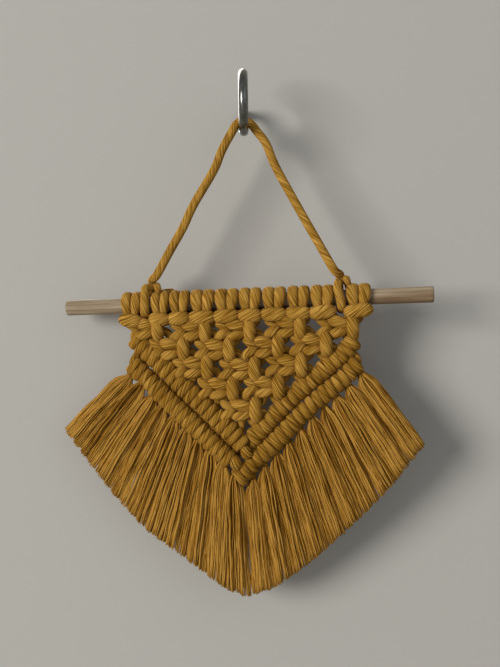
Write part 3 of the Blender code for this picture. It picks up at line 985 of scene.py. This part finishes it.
def cotton_material(name, lobes, patchy, dark, middle, light):
    """Matte cotton: yarns that follow the twist, painted shade in the grooves where they meet, finer
    fibres on them, and each strand's tone with painted shade by piece.
    """
    make = Nodes(name)
    uv = make.add("ShaderNodeUVMap", uv_map="yarn").outputs["UV"]
    turn = make.math("MULTIPLY", make.axis(uv, "X"), 2 * math.pi * lobes)
    round_yarn = make.math("COSINE", turn, 0.0)
    groove = make.math("MULTIPLY", make.math("SUBTRACT", 1.0, round_yarn), 0.5)
    lines = make.noise(make.mapped(uv, (lobes * 1.3, 0.12, 1.0)), 1.0, 1.0)
    fibres = make.noise(make.mapped(uv, (lobes * 5.0, 0.5, 1.0), (0, 0, 0.05)), 1.0, 3.0)
    coordinates = make.add("ShaderNodeTexCoord").outputs["Object"]
    patches = make.noise(coordinates, 90.0, 3.0)
    # Random tone per yarn, and painted shade per piece in the net and bands.
    tone_and_shade = make.add("ShaderNodeAttribute", attribute_name="tone_and_shade").outputs["Fac"]
    strand = make.math("ADD", make.math("MULTIPLY", lines, 0.8), make.math("MULTIPLY", fibres, 0.2))
    # Painted shade: the colour is darkened in the grooves where two yarns meet.
    strand = make.math("SUBTRACT", strand, make.math("MULTIPLY", groove, GROOVE_SHADE))
    for source, share in ((tone_and_shade, TONE_SHADE), (patches, patchy)):
        shade = make.math("MULTIPLY", make.math("SUBTRACT", source, 0.5), share)
        strand = make.math("ADD", strand, shade)
    colour = make.ramp(strand, (0.14, dark), (0.36, middle), (0.58, light))
    make.link(colour, make.shader.inputs["Base Color"])
    height = make.math("ADD", make.math("MULTIPLY", lines, 0.5), make.math("MULTIPLY", fibres, 0.5))
    make.link(make.bump(height, 0.7, 0.0006), make.shader.inputs["Normal"])
    make.shader.inputs["Roughness"].default_value = 0.9
    make.shader.inputs["Specular IOR Level"].default_value = 0.05
    make.shader.inputs["Sheen Weight"].default_value = 0.02
    make.shader.inputs["Sheen Roughness"].default_value = 0.45
    make.shader.inputs["Sheen Tint"].default_value = (1.0, 0.84, 0.55, 1.0)
    return make.material


def wood_material():
    """Pale greyish beech: long grain lines, short darker flecks, a faint wide cathedral figure, and
    patchy darkening towards the right end.
    """
    make = Nodes("dowel_wood")
    coordinates = make.add("ShaderNodeTexCoord").outputs["Object"]
    grain = make.noise(make.mapped(coordinates, (22.0, 900.0, 900.0)), 1.0, 5.0, 0.6)
    fleck = make.noise(make.mapped(coordinates, (130.0, 2600.0, 2600.0)), 1.0, 2.0)
    figure = make.noise(make.mapped(coordinates, (14.0, 240.0, 240.0)), 1.0, 2.0)
    base = make.ramp(
        grain,
        (0.32, (0.27, 0.20, 0.13)),
        (0.50, (0.38, 0.30, 0.205)),
        (0.70, (0.46, 0.375, 0.27)),
    )
    dark = make.ramp(figure, (0.46, (0.72, 0.66, 0.58)), (0.58, (1.0, 1.0, 1.0)))
    flecked = make.ramp(fleck, (0.30, (0.70, 0.62, 0.52)), (0.42, (1.0, 1.0, 1.0)))
    colour = make.mix(1.0, make.mix(0.8, base, dark, "MULTIPLY"), flecked, "MULTIPLY")
    # Darker towards the right end, in wide patches.
    darkening_patches = make.noise(make.mapped(coordinates, (30.0, 260.0, 190.0)), 1.0, 1.0)
    right_end_darkening = make.ramp(darkening_patches, (0.44, (0.62, 0.53, 0.44)), (0.60, (0.92, 0.87, 0.81)))
    towards_right = make.ramp(
        make.math("MULTIPLY", make.axis(coordinates, "X"), 8.0),
        (0.30, (0.0, 0.0, 0.0)),
        (0.46, (1.0, 1.0, 1.0)),
    )
    colour = make.mix(towards_right, colour, make.mix(1.0, colour, right_end_darkening, "MULTIPLY"))
    make.link(colour, make.shader.inputs["Base Color"])
    make.link(make.bump(grain, 0.35, 0.0002), make.shader.inputs["Normal"])
    rough = make.math("MULTIPLY_ADD", grain, 0.25)
    rough.node.inputs[2].default_value = 0.5
    make.link(rough, make.shader.inputs["Roughness"])
    make.shader.inputs["Specular IOR Level"].default_value = 0.3
    return make.material


def end_grain_material():
    """The dowel's sawn ends: rings round a heart that lies off the middle, and open pores."""
    make = Nodes("dowel_end_grain")
    coordinates = make.add("ShaderNodeTexCoord").outputs["Object"]
    moved = make.mapped(coordinates, (0.0, 1.0, 1.0))
    moved.node.inputs["Location"].default_value = (0.0, 0.0052, 0.0031)
    rings = make.add("ShaderNodeTexWave", wave_type="RINGS", rings_direction="X")
    rings.inputs["Scale"].default_value = 190.0
    rings.inputs["Distortion"].default_value = 1.6
    make.link(moved, rings.inputs["Vector"])
    pores = make.noise(coordinates, 3800.0, 2.0)
    base = make.ramp(rings.outputs["Fac"], (0.15, (0.30, 0.205, 0.12)), (0.8, (0.45, 0.33, 0.205)))
    open_pores = make.ramp(pores, (0.35, (0.45, 0.4, 0.33)), (0.5, (1, 1, 1)))
    colour = make.mix(0.6, base, open_pores, "MULTIPLY")
    make.link(colour, make.shader.inputs["Base Color"])
    make.link(make.bump(pores, 0.4, 0.0002), make.shader.inputs["Normal"])
    make.shader.inputs["Roughness"].default_value = 0.8
    return make.material


def steel_material():
    """Dull plated wire: faint drawing lines along it and a few duller patches."""
    make = Nodes("plated_steel")
    uv = make.add("ShaderNodeUVMap", uv_map="yarn").outputs["UV"]
    drawn = make.noise(make.mapped(uv, (26.0, 0.12, 1.0)), 1.0, 3.0)
    coordinates = make.add("ShaderNodeTexCoord").outputs["Object"]
    patches = make.noise(coordinates, 260.0, 4.0)
    colour = make.ramp(patches, (0.35, (0.13, 0.13, 0.115)), (0.6, (0.21, 0.215, 0.195)))
    make.link(colour, make.shader.inputs["Base Color"])
    rough = make.math("MULTIPLY_ADD", patches, 0.22)
    rough.node.inputs[2].default_value = 0.14
    make.link(rough, make.shader.inputs["Roughness"])
    make.link(make.bump(drawn, 0.12, 0.0002), make.shader.inputs["Normal"])
    make.shader.inputs["Metallic"].default_value = 1.0
    return make.material


def backdrop_material():
    """A plain pale wall. Its back is clear, so that the object's own back can be looked at."""
    make = Nodes("plain_backdrop")
    make.shader.inputs["Base Color"].default_value = (0.47, 0.455, 0.42, 1.0)
    make.shader.inputs["Roughness"].default_value = 0.95
    make.shader.inputs["Specular IOR Level"].default_value = 0.1
    clear = make.add("ShaderNodeBsdfTransparent")
    choose = make.add("ShaderNodeMixShader")
    make.link(make.add("ShaderNodeNewGeometry").outputs["Backfacing"], choose.inputs["Fac"])
    make.link(make.shader.outputs["BSDF"], choose.inputs[1])
    make.link(clear.outputs["BSDF"], choose.inputs[2])
    make.link(choose.outputs["Shader"], make.tree.nodes["Material Output"].inputs["Surface"])
    return make.material


def add_backdrop():
    """Wall and floor in one sweep. The wall stands just behind the end of the hook's shank."""
    profile = [(WALL_Y, WALL_TOP), (WALL_Y, WALL_FOOT)]
    for step in range(1, SWEEP_STEPS + 1):
        angle = math.radians(90 * step / SWEEP_STEPS)
        forward = SWEEP_RADIUS * (1 - math.cos(angle))
        profile.append((WALL_Y - forward, WALL_FOOT - SWEEP_RADIUS * math.sin(angle)))
    profile.append((FLOOR_FRONT, WALL_FOOT - SWEEP_RADIUS))
    points = [(x, y, z) for y, z in profile for x in (-BACKDROP_HALF_WIDTH, BACKDROP_HALF_WIDTH)]
    faces = []
    for step in range(len(profile) - 1):
        low = 2 * step
        faces.append((low, low + 2, low + 3, low + 1))
    mesh = bpy.data.meshes.new("backdrop")
    mesh.from_pydata(points, [], faces)
    mesh.shade_smooth()
    mesh.materials.append(backdrop_material())
    obj = add_object("backdrop", mesh)


def add_light(name, spot, aim, size, energy, colour):
    light = bpy.data.lights.new(name, "AREA")
    light.shape = "DISK"
    light.size = size
    light.energy = energy
    light.color = colour
    obj = add_object(name, light)
    obj.location = spot
    obj.rotation_euler = (Vector(aim) - Vector(spot)).to_track_quat("-Z", "Y").to_euler()
    return obj


def add_lights(pieces):
    aim = (0.0, -0.02, -0.10)
    add_light("key", (-1.9, -1.9, 0.28), aim, 1.2, 58.0, (1.0, 0.985, 0.95))
    add_light("fill", (0.8, -1.1, 0.35), aim, 1.0, 1.2, (0.94, 0.97, 1.0))
    behind = add_light("behind", (-0.4, 0.9, 0.45), aim, 0.9, 12.0, (1.0, 0.98, 0.95))
    lit = bpy.data.collections.new("lit_from_behind")
    for obj in pieces:
        lit.objects.link(obj)
    behind.data.cycles.max_bounces = 0
    behind.light_linking.receiver_collection = lit
    behind.light_linking.blocker_collection = lit
    world = bpy.data.worlds.new("soft_room")
    world.use_nodes = True
    background = world.node_tree.nodes["Background"]
    background.inputs["Color"].default_value = (0.92, 0.95, 1.0, 1.0)
    background.inputs["Strength"].default_value = 0.31
    bpy.context.scene.world = world
    bpy.context.scene.view_settings.view_transform = "Standard"


def add_camera():
    camera = bpy.data.cameras.new("camera")
    camera.sensor_width = 36.0
    camera.lens = CAMERA_LENS
    camera.clip_start = 0.01
    obj = add_object("camera", camera)
    obj.matrix_world = (
        Matrix.Translation(CAMERA_SPOT)
        @ Matrix.Rotation(math.radians(90), 4, "X")
        @ Matrix.Rotation(math.radians(CAMERA_ROLL), 4, "Z")
    )
    bpy.context.scene.camera = obj


def build():
    cotton = cotton_material(
        "ochre_cotton_cord",
        CORD_LOBES,
        0.2,
        (0.050, 0.015, 0.001),
        (0.270, 0.127, 0.012),
        (0.59, 0.332, 0.070),
    )
    yarns = cotton_material(
        "ochre_cotton_yarn",
        2,
        0.1,
        (0.045, 0.013, 0.001),
        (0.245, 0.106, 0.009),
        (0.53, 0.285, 0.055),
    )
    names = ["knotted_net", *BANDS] + [f"lark_head_{index + 1:02d}" for index in range(10)]
    skins = {name: Skin() for name in names}
    ends = add_cords(skins)
    pieces = [skins[name].make(f"{name}_cords", cotton, [name], "cotton") for name in names]
    for name in FRINGE:
        skin = Skin()
        add_fringe(skin, name, ends)
        pieces.append(skin.make(f"{name}_yarns", yarns, [name], "cotton"))
    pieces.append(add_hanger(cotton))
    pieces.append(add_hook(steel_material()))
    pieces.append(add_dowel(wood_material(), end_grain_material()))
    for piece in pieces:
        print(piece.name, sum(len(face.vertices) - 2 for face in piece.data.polygons))
    add_backdrop()
    add_lights(pieces)
    add_camera()


build()
